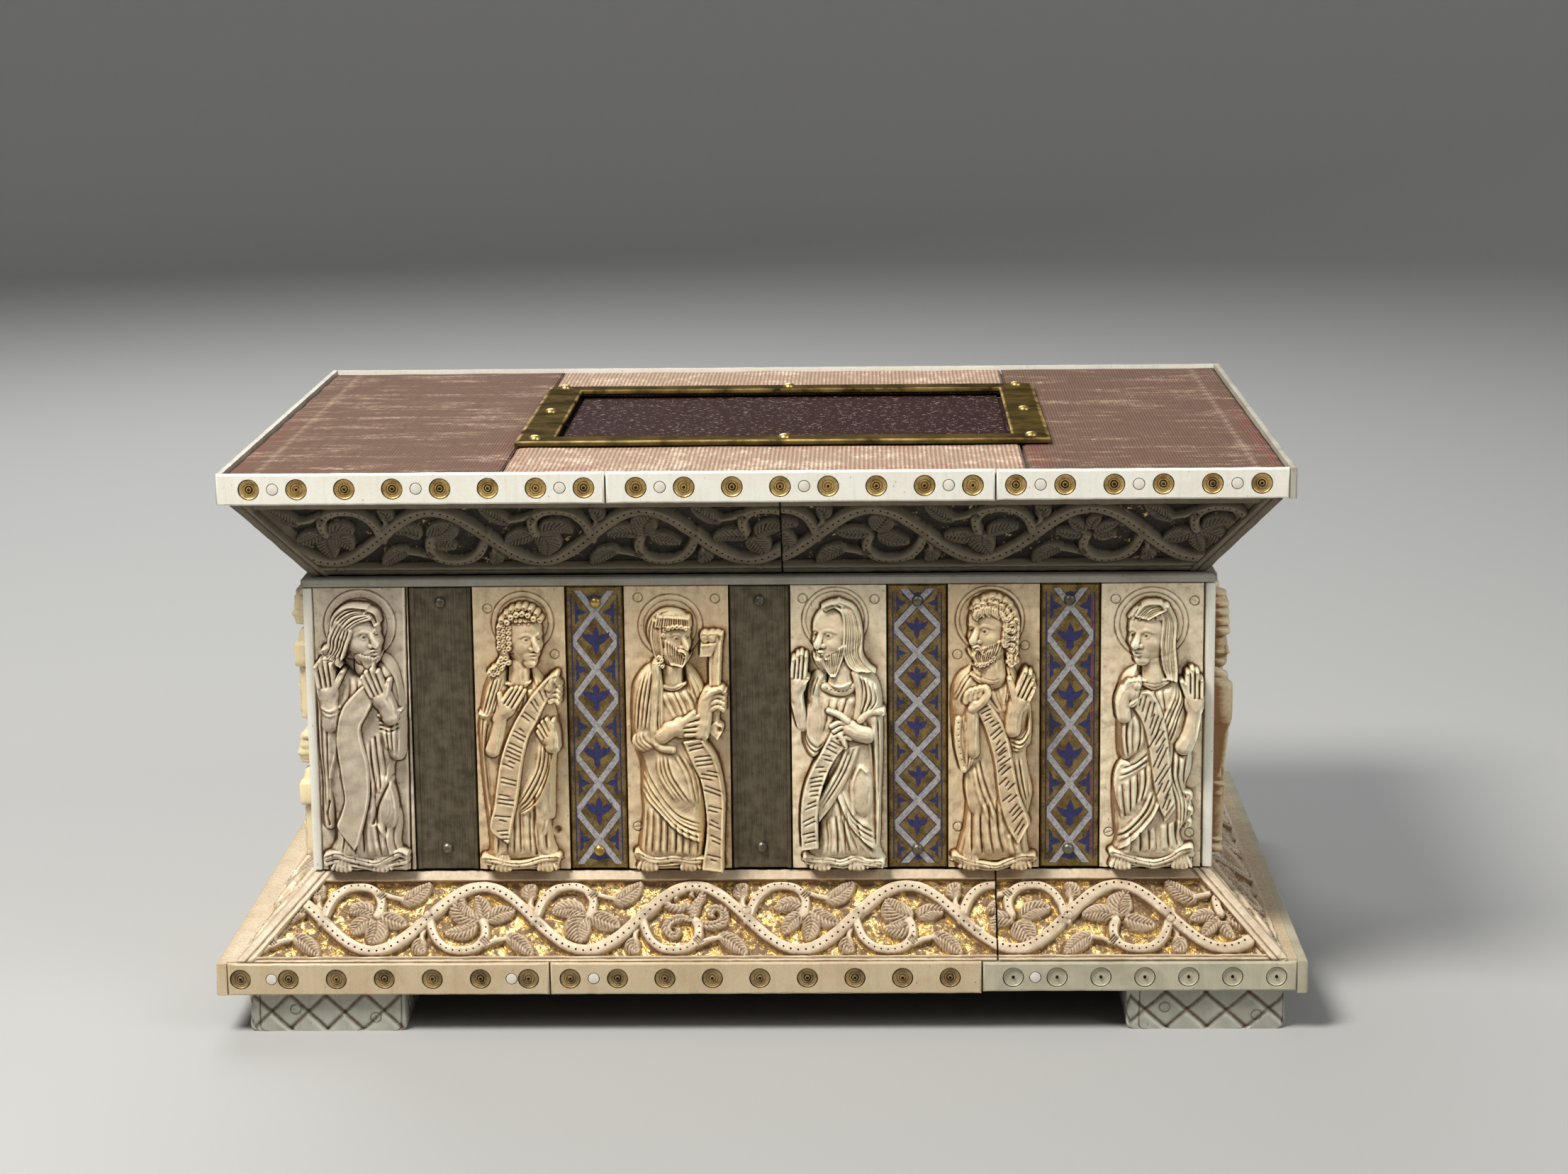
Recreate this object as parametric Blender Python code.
"""A portable altar: an oak box clad in carved ivory plaques, enamel and metal strips,
with vine-scroll mouldings, studded edge strips, lattice feet, and a framed stone in its top.

Lengths here are in millimetres, and solid() turns them into metres. X runs along the front,
the front faces -Y, and Z = 0 is the underside of the feet, midway between the sides.
"""
import math

import bmesh
import bpy
import numpy as np
from mathutils import Vector

MM = 0.001
GAP = 0.3                      # clearance between neighbouring pieces
HALF_GAP = GAP / 2

# The stack, from the floor up
TOP_LENGTH, TOP_DEPTH = 270.0, 190.0
BASE_LENGTH, BASE_DEPTH = 280.2, 191.0
FEET_TOP = 10.3
BASE_TOP = 19.3
LOWER_MOULDING_TOP = 38.3
PLAQUE_BOTTOM, PLAQUE_TOP = 38.9, 113.9
NECK_BOTTOM, NECK_TOP = 114.2, 116.4
UPPER_MOULDING_BOTTOM, UPPER_MOULDING_TOP = 116.8, 138.3
EDGE_BOTTOM, EDGE_TOP = 138.7, 146.7

# How far each face stands inside the top slab's own faces
PLAQUE_INSET = 18.1
NECK_INSET = 17.6
UPPER_INSET_LOW, UPPER_INSET_HIGH = 20.2, 3.2
LOWER_INSET_LOW, LOWER_INSET_HIGH = 0.2, 18.7

PLATE_THICKNESS = 2.6
STRIP_THICKNESS = 2.2
MOULDING_THICKNESS = 4.6       # measured level, from the sloping face inwards
EDGE_THICKNESS = 3.0
BASE_SIDE_THICKNESS = 2.7
CORE_WALL = 12.0

IVORY = ("ivory", (0.83, 0.76, 0.62), 0.35, 0.0)
OAK = ("oak", (0.20, 0.12, 0.06), 0.75, 0.0)
GILT_BASE = ("gilded_ivory", (0.78, 0.62, 0.36), 0.4, 0.2)
ENAMEL = ("enamelled_copper", (0.30, 0.27, 0.30), 0.3, 0.4)
GREY_METAL = ("silvered_strip", (0.20, 0.20, 0.16), 0.5, 0.7)
BRASS = ("frame_brass", (0.40, 0.30, 0.12), 0.4, 0.9)
PORPHYRY = ("porphyry", (0.16, 0.09, 0.09), 0.25, 0.0)
ROSE_SILK = ("rose_silk", (0.50, 0.34, 0.30), 0.7, 0.0)
PALE_SILK = ("pale_silk", (0.70, 0.55, 0.47), 0.7, 0.0)


# ---------------------------------------------------------------- tools

def clear_scene():
    for old in list(bpy.data.objects):
        bpy.data.objects.remove(old, do_unlink=True)


def material(finish):
    name, colour, roughness, metallic = finish
    found = bpy.data.materials.get(name)
    if found:
        return found
    made = bpy.data.materials.new(name)
    made.use_nodes = True
    shader = made.node_tree.nodes["Principled BSDF"]
    shader.inputs["Base Color"].default_value = (*colour, 1.0)
    shader.inputs["Roughness"].default_value = roughness
    shader.inputs["Metallic"].default_value = metallic
    return made


def solid(name, points, faces, finish):
    """One closed body from points in millimetres, with its faces turned outwards."""
    mesh = bpy.data.meshes.new(name)
    mesh.from_pydata([tuple(float(c) * MM for c in p) for p in points], [], faces)
    work = bmesh.new()
    work.from_mesh(mesh)
    bmesh.ops.recalc_face_normals(work, faces=work.faces)
    work.to_mesh(mesh)
    work.free()
    mesh.materials.append(material(finish))
    made = bpy.data.objects.new(name, mesh)
    bpy.context.scene.collection.objects.link(made)
    return made


def bevelled(made, width):
    bevel = made.modifiers.new("soft edges", "BEVEL")
    bevel.width = width * MM
    bevel.segments = 1
    bevel.limit_method = "ANGLE"
    return made


def box(name, x, y, z, finish):
    """A block between the pairs x, y and z."""
    points = [(a, b, c) for c in z for b in y for a in x]
    faces = [(0, 2, 3, 1), (4, 5, 7, 6), (0, 1, 5, 4), (2, 6, 7, 3), (0, 4, 6, 2), (1, 3, 7, 5)]
    return solid(name, points, faces, finish)


def rectangle(half_x, half_y, z):
    return [(-half_x, -half_y, z), (half_x, -half_y, z), (half_x, half_y, z), (-half_x, half_y, z)]


def stacked(name, rings, finish):
    """A body through rings of equal length, closed flat at both ends."""
    count = len(rings[0])
    points = [point for ring in rings for point in ring]
    faces = [tuple(range(count)), tuple(range(len(points) - count, len(points)))]
    for level in range(len(rings) - 1):
        low, high = level * count, (level + 1) * count
        faces += [(low + i, low + (i + 1) % count, high + (i + 1) % count, high + i) for i in range(count)]
    return solid(name, points, faces, finish)


def tube_of(name, outer, inner, finish):
    """A ring-shaped body: outer and inner are lists of matching loops, bottom to top."""
    count = len(outer[0])
    loops = outer + inner[::-1]
    points = [point for loop in loops for point in loop]
    faces = []
    for level in range(len(loops)):
        low, high = level * count, (level + 1) % len(loops) * count
        faces += [(low + i, low + (i + 1) % count, high + (i + 1) % count, high + i) for i in range(count)]
    return solid(name, points, faces, finish)


def carved(name, face, back, heights, cells, keep, finish):
    """A slab whose outer face is carved.

    face and back hold four corners each, bottom-left, bottom-right, top-right and top-left as
    seen from outside. heights(u, v) gives the relief in millimetres, with u measured along
    the face from its middle and v up from its lower edge. keep is the share of facets kept.
    """
    face, back = np.array(face, float), np.array(back, float)
    across, up = cells
    s, t = np.meshgrid(np.linspace(0, 1, across + 1), np.linspace(0, 1, up + 1))
    s, t = s[..., None], t[..., None]

    def spread(corners):
        return (corners[0] * (1 - s) + corners[1] * s) * (1 - t) + (corners[3] * (1 - s) + corners[2] * s) * t

    outer, inner = spread(face), spread(back)
    along = face[1] - face[0]
    along /= np.linalg.norm(along)
    rise = (face[3] + face[2] - face[1] - face[0]) / 2
    rise -= along * (rise @ along)
    rise /= np.linalg.norm(rise)
    normal = np.cross(along, rise)
    middle = (face[0] + face[1]) / 2
    relief = np.round(heights((outer - middle) @ along, (outer - middle) @ rise), 3)
    outer = outer + relief[..., None] * normal

    size = (up + 1) * (across + 1)
    points = np.concatenate([outer.reshape(-1, 3), inner.reshape(-1, 3)])

    def at(row, column):
        return row * (across + 1) + column

    faces = []
    for row in range(up):
        for column in range(across):
            quad = (at(row, column), at(row, column + 1), at(row + 1, column + 1), at(row + 1, column))
            faces += [quad, tuple(size + i for i in reversed(quad))]
    rim = [at(0, c) for c in range(across)] + [at(r, across) for r in range(up)]
    rim += [at(up, c) for c in range(across, 0, -1)] + [at(r, 0) for r in range(up, 0, -1)]
    faces += [(rim[i], size + rim[i], size + rim[(i + 1) % len(rim)], rim[(i + 1) % len(rim)])
              for i in range(len(rim))]
    made = solid(name, points, faces, finish)
    thin = made.modifiers.new("facets", "DECIMATE")
    thin.ratio = keep
    return made


# ---------------------------------------------------------------- where the faces of the box lie

HALF_X, HALF_Y = TOP_LENGTH / 2, TOP_DEPTH / 2


def side_frame(side, inset):
    """Origin and level direction of one face of the box, standing inset inside the top slab."""
    if side == "front":
        return Vector((0, -HALF_Y + inset, 0)), Vector((1, 0, 0))
    if side == "back":
        return Vector((0, HALF_Y - inset, 0)), Vector((-1, 0, 0))
    if side == "left":
        return Vector((-HALF_X + inset, 0, 0)), Vector((0, -1, 0))
    return Vector((HALF_X - inset, 0, 0)), Vector((0, 1, 0))


def on_side(side, inset, u, z):
    origin, along = side_frame(side, inset)
    return tuple(origin + along * u + Vector((0, 0, z)))


def half_run(side, inset):
    """Half the level length of a face that stands inset inside the top slab."""
    return (HALF_X if side in ("front", "back") else HALF_Y) - inset


# ---------------------------------------------------------------- relief shapes

def dome(u, v, centre, radii, height):
    share = 1 - ((u - centre[0]) / radii[0]) ** 2 - ((v - centre[1]) / radii[1]) ** 2
    return height * np.sqrt(np.clip(share, 0, None))


def path_distance(u, v, points):
    """Distance to a line through points."""
    nearest = np.full(u.shape, 1e9)
    for (u0, v0), (u1, v1) in zip(points, points[1:]):
        du, dv = u1 - u0, v1 - v0
        share = np.clip(((u - u0) * du + (v - v0) * dv) / (du * du + dv * dv), 0, 1)
        nearest = np.minimum(nearest, np.hypot(u - u0 - share * du, v - v0 - share * dv))
    return nearest


def limb(u, v, points, radius, height):
    return height * np.sqrt(np.clip(1 - (path_distance(u, v, points) / radius) ** 2, 0, None))


def ribbon(u, v, points, half_width, height):
    edge = np.clip((half_width - path_distance(u, v, points)) / 0.8, 0, 1)
    return height * edge


def body(u, v, hem, shoulders, folds=6):
    """Robes: a rounded shape from the shoulders to the hem, broken by upright folds."""
    left, right, foot = hem
    narrow_left, narrow_right, top = shoulders
    rise = np.clip((v - foot) / (top - foot), 0, 1)
    low = left + (narrow_left - left) * rise ** 2
    high = right + (narrow_right - right) * rise ** 2
    across = (u - (low + high) / 2) / ((high - low) / 2)
    inside = (np.abs(across) < 1) & (v > foot) & (v < top + 3)
    shoulder = np.sqrt(np.clip(1 - np.clip((v - top) / 3 + 0.4 * np.abs(across), 0, 1) ** 2, 0, None))
    form = ROBE_RELIEF * np.sqrt(np.clip(1 - across ** 2, 0, None)) * shoulder
    form += 0.5 * np.cos(folds * math.pi * across + 0.12 * v) * np.clip(1 - across ** 2, 0, 1)
    return np.where(inside, np.maximum(form, 0), 0)


# How far the parts of a figure stand out of their plaque
HALO_RELIEF, ROBE_RELIEF, FOOT_RELIEF = 0.9, 4.8, 4.8
HEAD_RELIEF, NOSE_RELIEF, BEARD_RELIEF = 6.2, 6.6, 6.2
ARM_RELIEF, SCROLL_RELIEF = 6.0, 5.6
KEY_RELIEF, KEY_BITS_RELIEF = 4.8, 4.4


def figure(shape):
    """The height field of one standing figure described by a dictionary of its parts."""
    def heights(u, v):
        centre, radius = shape["halo"]
        disc = np.where(np.hypot(u - centre[0], v - centre[1]) < radius, HALO_RELIEF, 0.0)
        form = np.maximum(disc, body(u, v, shape["hem"], shape["shoulders"]))
        form = np.maximum(form, dome(u, v, shape["head"], shape["head_radii"], HEAD_RELIEF))
        turn = shape["turn"]
        nose = (shape["head"][0] + turn * shape["head_radii"][0] * 0.7, shape["head"][1] - 1.5)
        form = np.maximum(form, dome(u, v, nose, (2.2, 3.5), NOSE_RELIEF))
        if "beard" in shape:
            form = np.maximum(form, limb(u, v, [shape["head"], shape["beard"]], 3.2, BEARD_RELIEF))
        for points, thickness in shape.get("arms", ()):
            form = np.maximum(form, limb(u, v, points, thickness, ARM_RELIEF))
        for points, half_width in shape.get("scrolls", ()):
            form = np.maximum(form, ribbon(u, v, points, half_width, SCROLL_RELIEF))
        for foot in shape.get("feet", ()):
            form = np.maximum(form, dome(u, v, (foot, 1.6), (2.3, 2.2), FOOT_RELIEF))
        if "key" in shape:
            shaft, bits = shape["key"]
            form = np.maximum(form, ribbon(u, v, shaft, 1.3, KEY_RELIEF))
            form = np.maximum(form, ribbon(u, v, bits, 2.8, KEY_BITS_RELIEF))
        return form
    return heights


# The six figures of the front: u from the plaque's middle, v from its foot.
FRONT_FIGURES = [
    {"halo": ((-0.2, 65.2), 9.4), "head": (-0.9, 64.0), "head_radii": (6.3, 8.0), "turn": 1,
     "beard": (3.0, 56.0), "shoulders": (-8.5, 8.0, 51.0), "hem": (-10.4, 10.1, 3.0), "feet": (-5.0, 4.0),
     "arms": [([(-8.0, 22.0), (-9.0, 40.0), (-8.3, 51.0), (-7.0, 57.0)], 2.6),
              ([(10.0, 32.0), (7.2, 42.0), (6.6, 47.0), (4.0, 53.0)], 2.6)],
     "scrolls": [([(2.2, 48.0), (-2.2, 41.0), (-2.4, 34.0), (-1.8, 22.0), (-2.9, 14.0), (-2.5, 8.0)], 3.4)]},
    {"halo": ((0.9, 65.7), 7.9), "head": (0.8, 63.6), "head_radii": (5.6, 7.4), "turn": 1,
     "shoulders": (-7.4, 8.6, 51.0), "hem": (-10.0, 8.9, 3.2), "feet": (-5.2, 5.9),
     "arms": [([(-6.5, 36.0), (-5.0, 43.5), (-2.5, 47.0), (1.0, 50.0)], 2.4),
              ([(9.0, 38.0), (9.6, 49.0), (9.5, 53.0)], 2.3)],
     "scrolls": [([(7.5, 49.5), (3.2, 44.0), (0.0, 38.0), (-2.3, 30.0), (-4.2, 19.5), (-5.6, 10.5)], 3.0)]},
    {"halo": ((-1.6, 64.6), 8.1), "head": (-1.2, 64.0), "head_radii": (5.2, 7.8), "turn": 1,
     "beard": (0.6, 57.5), "shoulders": (-8.6, 7.0, 51.5), "hem": (-9.7, 7.6, 3.4), "feet": (-4.5, 3.4),
     "arms": [([(-8.6, 44.0), (-9.2, 35.0), (-4.0, 37.5), (0.8, 39.5)], 2.6),
              ([(6.5, 42.0), (9.7, 46.5)], 2.8)],
     "scrolls": [([(4.2, 36.0), (7.6, 29.5), (10.0, 22.0), (10.4, 10.0), (9.8, 1.5)], 2.4)],
     "key": ([(10.4, 63.5), (10.4, 37.0)], [(8.6, 61.5), (8.6, 59.5)])},
    {"halo": ((-1.0, 65.5), 8.4), "head": (0.3, 64.0), "head_radii": (5.4, 8.0), "turn": -1,
     "beard": (-1.4, 54.0), "shoulders": (-7.6, 9.4, 50.5), "hem": (-8.3, 11.3, 3.2), "feet": (-4.7, 4.5),
     "arms": [([(-7.0, 30.5), (-9.4, 42.0), (-10.2, 49.5), (-9.8, 56.5)], 2.4),
              ([(7.5, 36.0), (2.9, 39.0), (-2.0, 43.0)], 2.4)],
     "scrolls": [([(0.0, 35.0), (-4.0, 28.5), (-6.4, 21.8), (-7.4, 15.0), (-7.2, 6.5)], 2.2)]},
    {"halo": ((-0.9, 65.2), 8.9), "head": (-0.9, 64.6), "head_radii": (5.8, 8.2), "turn": -1,
     "beard": (-3.2, 56.0), "shoulders": (-8.2, 8.2, 50.5), "hem": (-10.4, 9.6, 2.8), "feet": (-6.7, 6.2),
     "arms": [([(-8.6, 28.0), (-8.8, 38.0), (-4.3, 47.0)], 2.8),
              ([(7.6, 34.0), (7.4, 42.0), (6.4, 47.5), (8.6, 53.0)], 2.5)],
     "scrolls": [([(-3.0, 44.0), (0.6, 37.0), (2.4, 28.5), (3.6, 20.0), (5.6, 13.0), (7.0, 9.0)], 2.4)]},
    {"halo": ((-0.4, 64.8), 9.4), "head": (0.2, 63.6), "head_radii": (5.4, 7.6), "turn": -1,
     "shoulders": (-7.6, 8.8, 51.0), "hem": (-10.0, 10.2, 2.8), "feet": (-6.4, 5.6),
     "arms": [([(-9.0, 38.0), (-5.8, 48.0)], 2.6),
              ([(9.0, 34.0), (10.0, 45.0), (10.4, 52.0)], 2.3)],
     "scrolls": [([(-2.0, 45.0), (0.8, 37.0), (2.4, 27.5), (3.8, 19.0), (4.6, 13.0)], 2.5)]},
]


def plain_figure(index):
    """A quieter figure for the back, varied by its place in the row."""
    turn = 1 if index % 2 == 0 else -1
    hand = 44.0 + 2.0 * (index % 3)
    return {"halo": ((0.0, 65.0), 8.8), "head": (0.3 * turn, 63.8), "head_radii": (5.4, 7.6), "turn": turn,
            "shoulders": (-8.2, 8.2, 51.0), "hem": (-9.6, 9.6, 3.0), "feet": (-4.8, 4.8),
            "arms": [([(-8.4, 34.0), (-3.0 * turn, hand)], 2.5),
                     ([(8.4, 36.0), (5.0 * turn, hand - 5)], 2.5)],
            "scrolls": [([(3.0 * turn, 42.0), (4.2 * turn, 26.0), (2.4 * turn, 12.0)], 2.4)]}


def small_group(width, height, count):
    """A row of count small standing figures, as the left end's two registers hold."""
    pitch = width / count

    def heights(u, v):
        form = np.zeros(u.shape)
        for place in range(count):
            middle = (place - (count - 1) / 2) * pitch
            turn = 1 if place < count / 2 else -1
            w = u - middle
            torso = 3.4 * np.sqrt(np.clip(1 - (w / (pitch * 0.40)) ** 2, 0, None))
            torso *= (v > 1.2) & (v < height * 0.70)
            form = np.maximum(form, torso)
            form = np.maximum(form, dome(w, v, (0.3 * turn, height * 0.82), (2.9, 3.9), 4.6))
            arm = [(-2.4 * turn, height * 0.5), (pitch * 0.34 * turn, height * 0.58)]
            form = np.maximum(form, limb(w, v, arm, 1.4, 4.4))
        return form
    return heights


def crowned_pair(width):
    """Two tall crowned figures in short tunics, as the right end's plaques hold."""
    def heights(u, v):
        form = np.zeros(u.shape)
        for turn in (-1, 1):
            w = u + turn * width * 0.24
            form = np.maximum(form, dome(w, v, (0, 63.0), (4.4, 6.0), 5.6))
            form = np.maximum(form, ribbon(w, v, [(-3.2, 69.0), (3.2, 69.0)], 2.2, 5.2))
            form = np.maximum(form, limb(w, v, [(0, 57.0), (2.0 * turn, 44.0)], 4.6, 4.4))
            tunic = 4.8 * np.sqrt(np.clip(1 - (w / 7.6) ** 2, 0, None)) * ((v > 26) & (v < 53))
            form = np.maximum(form, tunic + 0.3 * np.cos(3.0 * w) * (tunic > 0.5))
            for leg in (-2.8, 2.8):
                form = np.maximum(form, limb(w, v, [(leg, 27.0), (leg * 1.15, 4.0)], 1.9, 4.2))
                form = np.maximum(form, dome(w, v, (leg * 1.3, 3.0), (2.6, 1.8), 4.2))
            form = np.maximum(form, limb(w, v, [(4.6, 46.0), (1.0, 40.0)], 1.9, 5.4))
        return form
    return heights


VINE_PERIOD = 54.0


def vine(face_height, half_length_low, half_length_high, start):
    """A scrolling stem with a curled branch and a lobed leaf in each of its bays.

    start is the piece's middle along the whole moulding. The scroll stops in a plain band
    along the two mitred ends, which lie half_length_low and half_length_high out.
    """
    middle, swing = face_height / 2, face_height * 0.27
    leaf_radius, curl_radius = 3.4, 6.2

    def heights(u, v):
        x = u + start
        wave = middle + swing * np.sin(2 * math.pi * x / VINE_PERIOD)
        slope = 2 * math.pi / VINE_PERIOD * swing * np.cos(2 * math.pi * x / VINE_PERIOD)
        off = (v - wave) / np.hypot(1, slope)
        form = 1.7 * np.sqrt(np.clip(1 - (off / 1.9) ** 2, 0, None))
        bay = np.floor(x / (VINE_PERIOD / 2))
        turn = np.where(bay % 2 == 0, 1.0, -1.0)
        dx = x - (bay + 0.5) * VINE_PERIOD / 2
        dy = v - (middle - turn * swing * 0.42)
        ring = np.hypot(dx, dy)
        angle = np.arctan2(dy * turn, dx)
        curl = 1.5 * np.sqrt(np.clip(1 - ((ring - curl_radius) / 1.5) ** 2, 0, None))
        form = np.maximum(form, np.where(np.abs(angle + 0.6) > 0.5, curl, 0))
        lobes = leaf_radius * (1 + 0.22 * np.cos(3 * angle + 1.2))
        form = np.maximum(form, 2.1 * np.sqrt(np.clip(1 - (ring / lobes) ** 2, 0, None)))
        end = half_length_low + (half_length_high - half_length_low) * v / face_height
        plain = (v < 2.2) | (v > face_height - 2.6) | (np.abs(x) > end - 3.5)
        return np.where(plain, 0, form)
    return heights


# ---------------------------------------------------------------- the pieces

def cores():
    base_x, base_y = BASE_LENGTH / 2 - EDGE_THICKNESS - GAP, BASE_DEPTH / 2 - EDGE_THICKNESS - GAP
    low, high = LOWER_INSET_LOW + MOULDING_THICKNESS + GAP, LOWER_INSET_HIGH + MOULDING_THICKNESS + GAP
    stacked("plinth_core", [
        rectangle(base_x, base_y, FEET_TOP + GAP),
        rectangle(base_x, base_y, BASE_TOP),
        rectangle(HALF_X - low, HALF_Y - low, BASE_TOP),
        rectangle(HALF_X - high, HALF_Y - high, LOWER_MOULDING_TOP)], OAK)

    inset = PLAQUE_INSET + PLATE_THICKNESS + GAP
    outer = (HALF_X - inset, HALF_Y - inset)
    inner = (outer[0] - CORE_WALL, outer[1] - CORE_WALL)
    levels = (LOWER_MOULDING_TOP + GAP, PLAQUE_TOP)
    tube_of("body_core", [rectangle(*outer, z) for z in levels], [rectangle(*inner, z) for z in levels], OAK)

    low, high = UPPER_INSET_LOW + MOULDING_THICKNESS + GAP, UPPER_INSET_HIGH + MOULDING_THICKNESS + GAP
    board = EDGE_THICKNESS + GAP
    stone_bed = rectangle(STONE_LENGTH / 2 + GAP, STONE_DEPTH / 2 + GAP, 0)
    bed = [[(x + STONE_X, y + STONE_Y, z) for x, y, _ in stone_bed] for z in (STONE_BOTTOM - GAP, BOARD_TOP)]
    rings = [
        rectangle(HALF_X - low, HALF_Y - low, PLAQUE_TOP + GAP),
        rectangle(HALF_X - low, HALF_Y - low, UPPER_MOULDING_BOTTOM),
        rectangle(HALF_X - high, HALF_Y - high, UPPER_MOULDING_TOP),
        rectangle(HALF_X - board, HALF_Y - board, UPPER_MOULDING_TOP + GAP),
        rectangle(HALF_X - board, HALF_Y - board, BOARD_TOP),
        bed[1], bed[0]]
    stacked("top_core", rings, OAK)


FOOT_LENGTH, FOOT_DEPTH, FOOT_CORNER = 40.6, 34.0, 4.0
FOOT_FRONT = 92.5              # how far the feet's outer faces stand from the middle, along Y
LEFT_FOOT_START, RIGHT_FOOT_START = -132.4, 94.1


def feet():
    for along, start in (("left", LEFT_FOOT_START), ("right", RIGHT_FOOT_START)):
        for place, sign in (("front", -1), ("back", 1)):
            outline = []
            for corner_x, corner_z, first in ((start + FOOT_CORNER, FOOT_CORNER, 180),
                                              (start + FOOT_LENGTH - FOOT_CORNER, FOOT_CORNER, 270)):
                outline += [(corner_x + FOOT_CORNER * math.cos(math.radians(first + step)),
                             corner_z + FOOT_CORNER * math.sin(math.radians(first + step)))
                            for step in (0, 45, 90)]
            outline += [(start + FOOT_LENGTH, FEET_TOP), (start, FEET_TOP)]
            loops = [[(x, sign * y, z) for x, z in outline] for y in (FOOT_FRONT - FOOT_DEPTH, FOOT_FRONT)]
            bevelled(stacked(f"foot_{place}_{along}", loops, IVORY), 0.5)


FRONT_BASE_JOINTS = (-54.0, 57.0)
FRONT_TOP_JOINTS = (-37.1, 60.3)


def edge_strips(prefix, length, depth, bottom, top, joints, side_thickness, finish):
    """Strips around a slab's edge: the front in three lengths, the others in one."""
    outer_y, inner_y = depth / 2, depth / 2 - EDGE_THICKNESS
    inner_x = length / 2 - side_thickness
    cuts = [-inner_x, *joints, inner_x]
    for number, (start, end) in enumerate(zip(cuts, cuts[1:]), 1):
        bevelled(box(f"{prefix}_front_{number}", (start + HALF_GAP, end - HALF_GAP), (-outer_y, -inner_y),
                     (bottom, top), finish), 0.5)
    bevelled(box(f"{prefix}_back", (-inner_x + HALF_GAP, inner_x - HALF_GAP), (inner_y, outer_y),
                 (bottom, top), finish), 0.5)
    for name, sign in (("left", -1), ("right", 1)):
        ends = sorted((sign * length / 2, sign * (inner_x + HALF_GAP)))
        bevelled(box(f"{prefix}_{name}", ends, (-outer_y, outer_y), (bottom, top), finish), 0.5)


# Facets kept for each millimetre of carved moulding, on the front and elsewhere
FACETS_PER_MM, PLAIN_FACETS_PER_MM = 3.0, 1.3


def moulding(prefix, low, high, inset_low, inset_high, joint, finish):
    """A sloping carved band around the box, mitred at its corners, the front in two lengths."""
    face_height = math.hypot(high - low, inset_high - inset_low)
    for side in ("front", "back", "left", "right"):
        ends_low = half_run(side, inset_low) - HALF_GAP
        ends_high = half_run(side, inset_high) - HALF_GAP
        if side == "front":
            runs = [(1, None, joint - HALF_GAP), (2, joint + HALF_GAP, None)]
        else:
            runs = [(0, None, None)]
        for number, start, end in runs:
            def corners(extra):
                reach_low, reach_high = ends_low - extra, ends_high - extra
                left = (-reach_low, -reach_high) if start is None else (start, start)
                right = (reach_low, reach_high) if end is None else (end, end)
                return [on_side(side, inset_low + extra, left[0], low),
                        on_side(side, inset_low + extra, right[0], low),
                        on_side(side, inset_high + extra, right[1], high),
                        on_side(side, inset_high + extra, left[1], high)]
            face = corners(0)
            run = (Vector(face[1]) - Vector(face[0])).length
            bottom_left = -ends_low if start is None else start
            bottom_right = ends_low if end is None else end
            heights = vine(face_height, ends_low, ends_high, (bottom_left + bottom_right) / 2)
            name = f"{prefix}_{side}" + (f"_{number}" if number else "")
            cells = (round(run / 1.8), 15)
            facets = 4 * cells[0] * cells[1]
            budget = (FACETS_PER_MM if side == "front" else PLAIN_FACETS_PER_MM) * run
            carved(name, face, corners(MOULDING_THICKNESS), heights, cells, budget / facets, finish)


def neck():
    for side in ("front", "back", "left", "right"):
        reach = half_run(side, NECK_INSET) - HALF_GAP
        thickness = 4.0
        loops = []
        for z in (NECK_BOTTOM, NECK_TOP):
            loops.append([on_side(side, NECK_INSET, -reach, z), on_side(side, NECK_INSET, reach, z),
                          on_side(side, NECK_INSET + thickness, reach - thickness, z),
                          on_side(side, NECK_INSET + thickness, -reach + thickness, z)])
        bevelled(stacked(f"neck_{side}", loops, IVORY), 0.4)


# Front row, left to right: name and the place of its left and right edge
FRONT_PLAQUES = [(-114.3, -90.1), (-73.3, -49.7), (-34.3, -7.6), (8.4, 32.9), (48.8, 72.2), (88.0, 114.0)]
FRONT_STRIPS = [("strip_enamel_1", -49.2, -34.8, ENAMEL), ("strip_enamel_2", 33.4, 48.3, ENAMEL),
                ("strip_enamel_3", 72.7, 87.5, ENAMEL), ("strip_plain_1", -89.6, -73.8, GREY_METAL),
                ("strip_plain_2", -7.1, 7.9, GREY_METAL)]

# Facets kept for one carved plaque
FRONT_FACETS, BACK_FACETS, END_FACETS, CROWNED_FACETS = 370, 190, 370, 250


def plaque(name, side, start, end, heights, facets, bottom=PLAQUE_BOTTOM, top=PLAQUE_TOP):
    corners = [(start, bottom), (end, bottom), (end, top), (start, top)]
    face = [on_side(side, PLAQUE_INSET, u, z) for u, z in corners]
    back = [on_side(side, PLAQUE_INSET + PLATE_THICKNESS, u, z) for u, z in corners]
    cells = (max(16, round((end - start) / 1.2)), round((top - bottom) / 1.3))
    return carved(name, face, back, heights, cells, facets / (4 * cells[0] * cells[1]), IVORY)


def front_row():
    for number, ((start, end), shape) in enumerate(zip(FRONT_PLAQUES, FRONT_FIGURES), 1):
        made = plaque(f"plaque_front_{number}", "front", start, end, figure(shape), FRONT_FACETS)
        if number == 4:
            cut_corner(made, start)
    for name, start, end, finish in FRONT_STRIPS:
        outer = -HALF_Y + PLAQUE_INSET + 0.3
        bevelled(box(name, (start, end), (outer, outer + STRIP_THICKNESS), (PLAQUE_BOTTOM, PLAQUE_TOP),
                     finish), 0.3)


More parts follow.
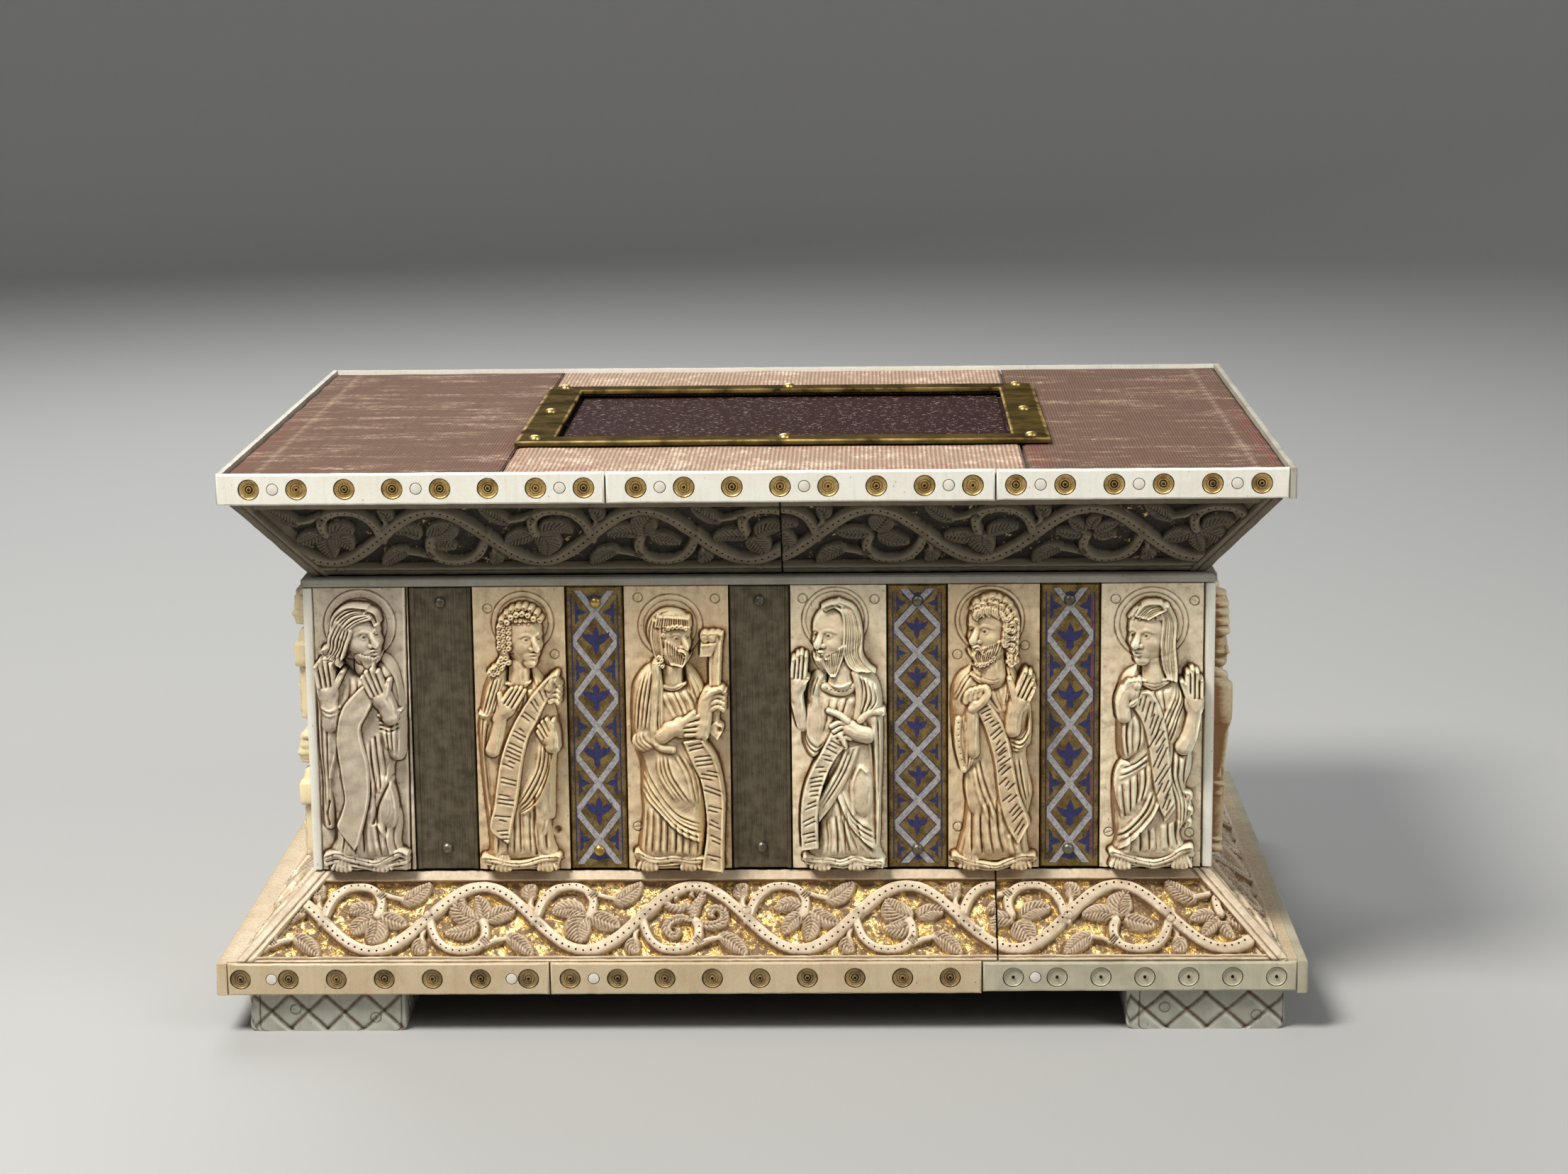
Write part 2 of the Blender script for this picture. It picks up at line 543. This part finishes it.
def cut_corner(made, start):
    """Break the lower corner off a plaque, under its figure's hem."""
    depth = -HALF_Y + PLAQUE_INSET
    reach = [(-2.0, -2.0), (5.2, -2.0), (4.0, 4.5), (1.6, 9.5), (-2.0, 12.0)]
    loops = [[(start + x, y, PLAQUE_BOTTOM + z) for x, z in reach] for y in (depth - 9, depth + 6)]
    cutter = stacked("corner_break", loops, OAK)
    cutter.hide_render = True
    cutter.display_type = "WIRE"
    cut = made.modifiers.new("broken corner", "BOOLEAN")
    cut.operation = "DIFFERENCE"
    cut.solver = "EXACT"
    cut.object = cutter


BACK_PITCH, BACK_PLAQUE_WIDTH = 38.6, 27.0
SMALL_FIGURES = 9


def other_sides():
    for index in range(6):
        start = (index - 2.5) * BACK_PITCH - BACK_PLAQUE_WIDTH / 2
        plaque(f"plaque_back_{index + 1}", "back", start, start + BACK_PLAQUE_WIDTH,
               figure(plain_figure(index)), BACK_FACETS)
    reach = half_run("left", PLAQUE_INSET) - EDGE_THICKNESS
    divide = PLAQUE_BOTTOM + 37.0
    register = small_group(2 * reach, 36.5, SMALL_FIGURES)
    plaque("plaque_left_lower", "left", -reach, reach, register, END_FACETS, top=divide - HALF_GAP)
    plaque("plaque_left_upper", "left", -reach, reach, register, END_FACETS, bottom=divide + HALF_GAP)
    third = 2 * reach / 3
    for index in range(3):
        start = -reach + index * third
        plaque(f"plaque_right_{index + 1}", "right", start + HALF_GAP, start + third - HALF_GAP,
               crowned_pair(third), CROWNED_FACETS)


STONE_X, STONE_Y = 6.1, -0.3
FRAME_LENGTH, FRAME_DEPTH = 140.4, 102.1
FRAME_END_WIDTH, FRAME_SIDE_WIDTH = 10.0, 8.4
STONE_LENGTH, STONE_DEPTH = 126.0, 90.0
STONE_BOTTOM, STONE_TOP = 137.0, 145.2
BOARD_TOP = 144.4
CLOTH_BOTTOM, CLOTH_TOP = 144.8, 146.0
CLOTH_SEAMS = (-63.6, 68.6)
FRAME_TOP = 147.6


def top_dressing():
    frame_x, frame_y = FRAME_LENGTH / 2, FRAME_DEPTH / 2

    def shifted(half_x, half_y, z):
        return [(x + STONE_X, y + STONE_Y, z) for x, y, _ in rectangle(half_x, half_y, z)]

    stacked("altar_stone", [shifted(STONE_LENGTH / 2, STONE_DEPTH / 2, STONE_BOTTOM),
                            shifted(STONE_LENGTH / 2, STONE_DEPTH / 2, STONE_TOP - 0.8),
                            shifted(STONE_LENGTH / 2 - 3.6, STONE_DEPTH / 2 - 3.0, STONE_TOP - 0.8),
                            shifted(STONE_LENGTH / 2 - 3.6, STONE_DEPTH / 2 - 3.0, STONE_TOP)], PORPHYRY)
    hole_x, hole_y = frame_x - FRAME_END_WIDTH, frame_y - FRAME_SIDE_WIDTH
    bottom = CLOTH_TOP + GAP
    slope = 0.4
    tube_of("stone_frame",
            [shifted(frame_x, frame_y, bottom), shifted(frame_x - slope, frame_y - slope, FRAME_TOP)],
            [shifted(hole_x, hole_y, bottom), shifted(hole_x + slope, hole_y + slope, FRAME_TOP)], BRASS)
    cloth_half_x = HALF_X - EDGE_THICKNESS - GAP
    cloth_half_y = HALF_Y - EDGE_THICKNESS - GAP
    left_seam, right_seam = CLOTH_SEAMS
    level = (CLOTH_BOTTOM, CLOTH_TOP)
    box("cloth_left", (-cloth_half_x, left_seam - HALF_GAP), (-cloth_half_y, cloth_half_y), level, ROSE_SILK)
    box("cloth_right", (right_seam + HALF_GAP, cloth_half_x), (-cloth_half_y, cloth_half_y), level, ROSE_SILK)
    gap_x = STONE_LENGTH / 2 + 2 * GAP
    outer = [(left_seam + HALF_GAP, -cloth_half_y), (right_seam - HALF_GAP, -cloth_half_y),
             (right_seam - HALF_GAP, cloth_half_y), (left_seam + HALF_GAP, cloth_half_y)]
    opening_left = max(STONE_X - gap_x, left_seam + 4.0)
    opening_right = min(STONE_X + gap_x, right_seam - 2.0)
    gap_y = STONE_DEPTH / 2 + 2 * GAP
    inner = [(opening_left, STONE_Y - gap_y), (opening_right, STONE_Y - gap_y),
             (opening_right, STONE_Y + gap_y), (opening_left, STONE_Y + gap_y)]
    tube_of("cloth_middle", [[(x, y, z) for x, y in outer] for z in level],
            [[(x, y, z) for x, y in inner] for z in level], PALE_SILK)


def build():
    clear_scene()
    cores()
    feet()
    edge_strips("base_edge", BASE_LENGTH, BASE_DEPTH, FEET_TOP + GAP, BASE_TOP - 0.2, FRONT_BASE_JOINTS,
                BASE_SIDE_THICKNESS, IVORY)
    edge_strips("top_edge", TOP_LENGTH, TOP_DEPTH, EDGE_BOTTOM, EDGE_TOP, FRONT_TOP_JOINTS,
                EDGE_THICKNESS, IVORY)
    moulding("moulding_lower", BASE_TOP + GAP, LOWER_MOULDING_TOP, LOWER_INSET_LOW, LOWER_INSET_HIGH,
             61.0, GILT_BASE)
    moulding("moulding_upper", UPPER_MOULDING_BOTTOM, UPPER_MOULDING_TOP, UPPER_INSET_LOW, UPPER_INSET_HIGH,
             6.4, IVORY)
    neck()
    front_row()
    other_sides()
    top_dressing()


build()
